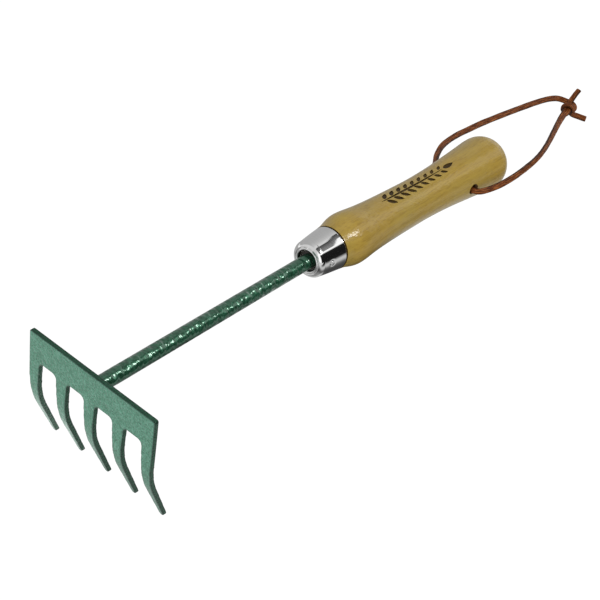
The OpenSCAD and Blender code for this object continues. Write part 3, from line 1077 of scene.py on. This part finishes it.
# ---------------------------------------------------------------- bounce card and floor
def resting_plane(head, grip):
    """Rise per unit of x, and height at x = 0, of a plane under the head and the grip."""
    head_points, grip_points = (
        np.array([v.co for v in piece.data.vertices]) * 1000 for piece in (head, grip))

    def heights(points, rise):
        return points[:, 2] - rise * points[:, 0]

    rise = 0.139                     # first guess
    for _ in range(60):
        front = head_points[heights(head_points, rise).argmin()]
        rear = grip_points[heights(grip_points, rise).argmin()]
        found = (rear[2] - front[2]) / (rear[0] - front[0])
        if abs(found - rise) < 1e-6:
            break
        rise = 0.5 * (rise + found)
    lowest = min(heights(head_points, rise).min(), heights(grip_points, rise).min())
    return rise, lowest - 0.05


def build_sheet(name, rise, height):
    """Large sheet parallel to the resting plane."""
    reach, middle = 6000.0, 160
    tilt = math.atan(rise)
    corners = []
    for side_x, side_y in ((-1, -1), (1, -1), (1, 1), (-1, 1)):
        x = middle + side_x * reach * math.cos(tilt)
        corners.append((x, side_y * reach, rise * x + height))
    return mesh_object(name, corners, [(0, 1, 2, 3)])


def emission(tree, colour=1.0, strength=1.0):
    return node(tree, "Emission", {"Color": colour, "Strength": strength}).outputs[0]


def bare_material(name):
    made, tree, _ = material(name)
    tree.nodes.clear()
    return made, tree


def floor_paper():
    """Bright to the camera, dimmer to everything else, and absent from underneath."""
    made, tree = bare_material("floor_paper")
    paper = node(tree, "BsdfDiffuse", {"Color": 0.9}).outputs[0]
    seen = mix_shader(tree, 0.92, paper, emission(tree, strength=1.07))
    is_camera = node(tree, "LightPath").outputs["Is Camera Ray"]
    above = mix_shader(tree, is_camera, emission(tree, 0.42), seen)
    below = node(tree, "BsdfTransparent").outputs[0]
    backfacing = node(tree, "NewGeometry").outputs["Backfacing"]
    node(tree, "OutputMaterial", {"Surface": mix_shader(tree, backfacing, above, below)})
    return made


def card_reflection(tree, x, y):
    """What polished metal sees: dim close to the tool, a lit sheet on its -Y side, then dark.

    The remaps work in metres and the ramp stops are in millimetres.
    """
    y_place = remap(tree, y, -0.25, 0.25)
    glow = ramp(tree, y_place, spread(-250, 250, [
        (-230, 0.012), (-190, 0.03), (-136, 0.22), (-95, 0.60), (-74, 0.58), (-60, 0.46),
        (-48, 0.19), (-36, 0.09), (-22, 0.055), (-2, 0.07), (6, 0.14), (25, 0.35),
        (60, 0.44), (250, 0.44)]))
    # evenly lit at the front, round the head
    glow = mix_colour(tree, glow, 0.74, remap(tree, x, 0.08, -0.02))
    # light paper under the ferrule's nose and under the grip
    under_x = ramp(tree, remap(tree, x, 0.0, 0.4), spread(0, 400, [
        (0, 0.0), (96, 0.0), (120, 0.35), (140, 0.45), (151.2, 1.0), (164.8, 1.0),
        (176, 0.0), (218, 0.0), (240, 1.0), (400, 1.0)]))
    under_y = ramp(tree, y_place, spread(-250, 250, [
        (-36, 0.0), (-20, 1.0), (45, 1.0), (70, 0.0)]))
    glow = mix_colour(tree, glow, 0.60, calculate(tree, "MULTIPLY", under_x, under_y))
    # bright strip beside the tines, on the +Y side
    strip_x = ramp(tree, remap(tree, x, -0.30, 0.10), spread(-300, 100, [
        (-300, 0.0), (-14, 0.0), (-6, 1.0), (50, 1.0), (60, 0.0), (100, 0.0)]))
    strip = calculate(tree, "MULTIPLY", strip_x, remap(tree, y, 0.010, 0.030))
    return mix_colour(tree, glow, 1.15, strip)


def card_paper():
    """Lights the tool from below; the camera and anything beneath see through it."""
    made, tree = bare_material("card_paper")
    geometry = node(tree, "NewGeometry").outputs
    rays = node(tree, "LightPath").outputs
    place = separate(tree, geometry["Position"])
    glossy = emission(tree, card_reflection(tree, place["X"], place["Y"]))
    # brighter under the rear of the grip
    diffuse = emission(tree, mix_colour(tree, 0.40, 0.78, remap(tree, place["X"], 0.22, 0.31)))
    lit = mix_shader(tree, rays["Is Glossy Ray"], diffuse, glossy)
    unseen = calculate(tree, "MAXIMUM", geometry["Backfacing"], rays["Is Camera Ray"])
    clear = node(tree, "BsdfTransparent").outputs[0]
    node(tree, "OutputMaterial", {"Surface": mix_shader(tree, unseen, lit, clear)})
    return made


# ---------------------------------------------------------------- world
def world_reflection(tree):
    """Cards round the X axis, placed in degrees from straight up towards -Y."""
    toward = separate(tree, node(tree, "TexCoord").outputs["Generated"])
    near_y = calculate(tree, "MULTIPLY", toward["Y"], -1)
    turn = calculate(tree, "ARCTAN2", near_y, toward["Z"])
    degrees = calculate(tree, "MULTIPLY", turn, 180 / math.pi)

    def past_edge(front, rear):
        """Degrees past a card's edge, which leans between two angles along X."""
        edge = remap(tree, toward["X"], 0.537, 0.572, front, rear)
        return calculate(tree, "SUBTRACT", degrees, edge)

    def ring(stops):
        return ramp(tree, remap(tree, turn, -math.pi, math.pi), spread(-180, 180, stops))

    cards = ring([(-180, 0.30), (-130, 0.42), (-60, 0.44), (-36, 0.465), (-24, 0.51),
                  (-12, 0.58), (-1, 0.74), (180, 0.76)])
    # a dark card that lightens away from its lower edge, then a bright one
    lower = past_edge(6.5, -6.0)
    upper = past_edge(41.0, 18.0)
    gradient = ramp(tree, remap(tree, lower, -2, 34), [
        (0.0, 0.035), (0.10, 0.045), (0.26, 0.10), (0.58, 0.19), (1.0, 0.25)])
    cards = mix_colour(tree, cards, gradient, remap(tree, lower, -1.2, 1.2))
    cards = mix_colour(tree, cards, 1.15, remap(tree, upper, -1.5, 1.5))
    # the black card keeps its own straight edge
    black = ring([(-180, 1.0), (47, 1.0), (52, 0.010), (100, 0.008), (112, 0.30),
                  (180, 0.30)])
    cards = multiply(tree, cards, black)
    # bright behind: only a rim that turns rearwards shows it
    cards = mix_colour(tree, cards, 1.2, remap(tree, toward["X"], 0.80, 0.90))
    # light in front, brighter on the -Y side
    front = mix_colour(tree, 0.70, 1.25, remap(tree, toward["Y"], -0.20, -0.42))
    return mix_colour(tree, cards, front, remap(tree, toward["X"], -0.50, -0.66))


def build_world():
    """Reflections see the ring of cards, diffuse light an even grey, the camera white."""
    world = bpy.data.worlds.new("studio")
    scene.world = world
    world.use_nodes = True
    tree = world.node_tree
    tree.nodes.clear()

    def background(colour, strength):
        inputs = {"Color": colour, "Strength": strength}
        return node(tree, "Background", inputs).outputs[0]

    rays = node(tree, "LightPath").outputs
    light = mix_shader(tree, rays["Is Glossy Ray"], background(1.0, 0.545),
                       background(world_reflection(tree), 1.0))
    seen = mix_shader(tree, rays["Is Camera Ray"], light, background(1.0, 1.03))
    node(tree, "OutputWorld", {"Surface": seen})


# ---------------------------------------------------------------- lights and camera
def area_light(name, direction, target, distance, width, height, power):
    """Area light aimed at the target from a direction; lengths in metres, power in watts."""
    toward = Vector(direction).normalized()
    data = bpy.data.lights.new(name, "AREA")
    data.shape = "RECTANGLE"
    data.size = width
    data.size_y = height
    data.energy = power
    data.spread = math.radians(180)
    light = bpy.data.objects.new(name, data)
    scene.collection.objects.link(light)
    light.location = Vector(target) + toward * distance
    light.rotation_mode = "QUATERNION"
    light.rotation_quaternion = toward.to_track_quat("Z", "Y")
    return light


def build_camera():
    data = bpy.data.cameras.new("camera")
    data.sensor_width = 36
    data.sensor_fit = "HORIZONTAL"
    data.lens = 81.121
    data.clip_start = 0.01
    data.clip_end = 30
    camera = bpy.data.objects.new("camera", data)
    scene.collection.objects.link(camera)
    axes = Matrix((tuple(VIEW_RIGHT), tuple(VIEW_UP), tuple(-VIEW_AHEAD))).transposed()
    camera.matrix_world = Matrix.Translation(Vector(VIEWPOINT * MM)) @ axes.to_4x4()
    scene.camera = camera


# ---------------------------------------------------------------- assembly
head = build_head()
finish_piece(head, "rake_head", corner=60, material=HEAD_PAINT)
finish_piece(build_weld(), "weld_bead", corner=60, material=HEAD_PAINT)
finish_piece(build_shank(), "shank", corner=50, material=SHANK_PAINT)
finish_piece(build_ferrule(), "ferrule", corner=60, material=CHROME)
finish_piece(build_pin(), "ferrule_pin", corner=50, material=PIN_STEEL)
grip = build_grip()
finish_piece(grip, "handle", corner=32)

# the hidden resin round the tang keeps its CAD shape
adhesive = NODES["tang_adhesive"].data
adhesive.materials.clear()
adhesive.materials.append(RESIN_AND_MOUTH_SHADE)

finish_piece(build_thong(), "leather_thong", corner=55, material=LEATHER,
             body="thong")

# the floor lies low enough for the thong to hang at any angle above it
FLOOR_DROP = 175.0
plane_rise, plane_height = resting_plane(head, grip)
floor = build_sheet("floor", plane_rise, plane_height - FLOOR_DROP)
floor.data.materials.append(floor_paper())
card = build_sheet("bounce_card", plane_rise, plane_height)
card.data.materials.append(card_paper())

build_world()
area_light("key", direction=(0.28, -0.60, 0.78), target=(0.16, 0, 0), distance=1.5,
           width=0.34, height=0.34, power=7.1)
front_light = area_light("front", direction=(-0.97, -0.12, 0.20), target=(0, 0, -0.02),
                         distance=0.60, width=0.5, height=0.4, power=4.0)
front_light.visible_glossy = False

build_camera()
scene.view_settings.view_transform = "Standard"
scene.view_settings.look = "None"
scene.view_settings.exposure = 0.0
scene.view_settings.gamma = 1.0
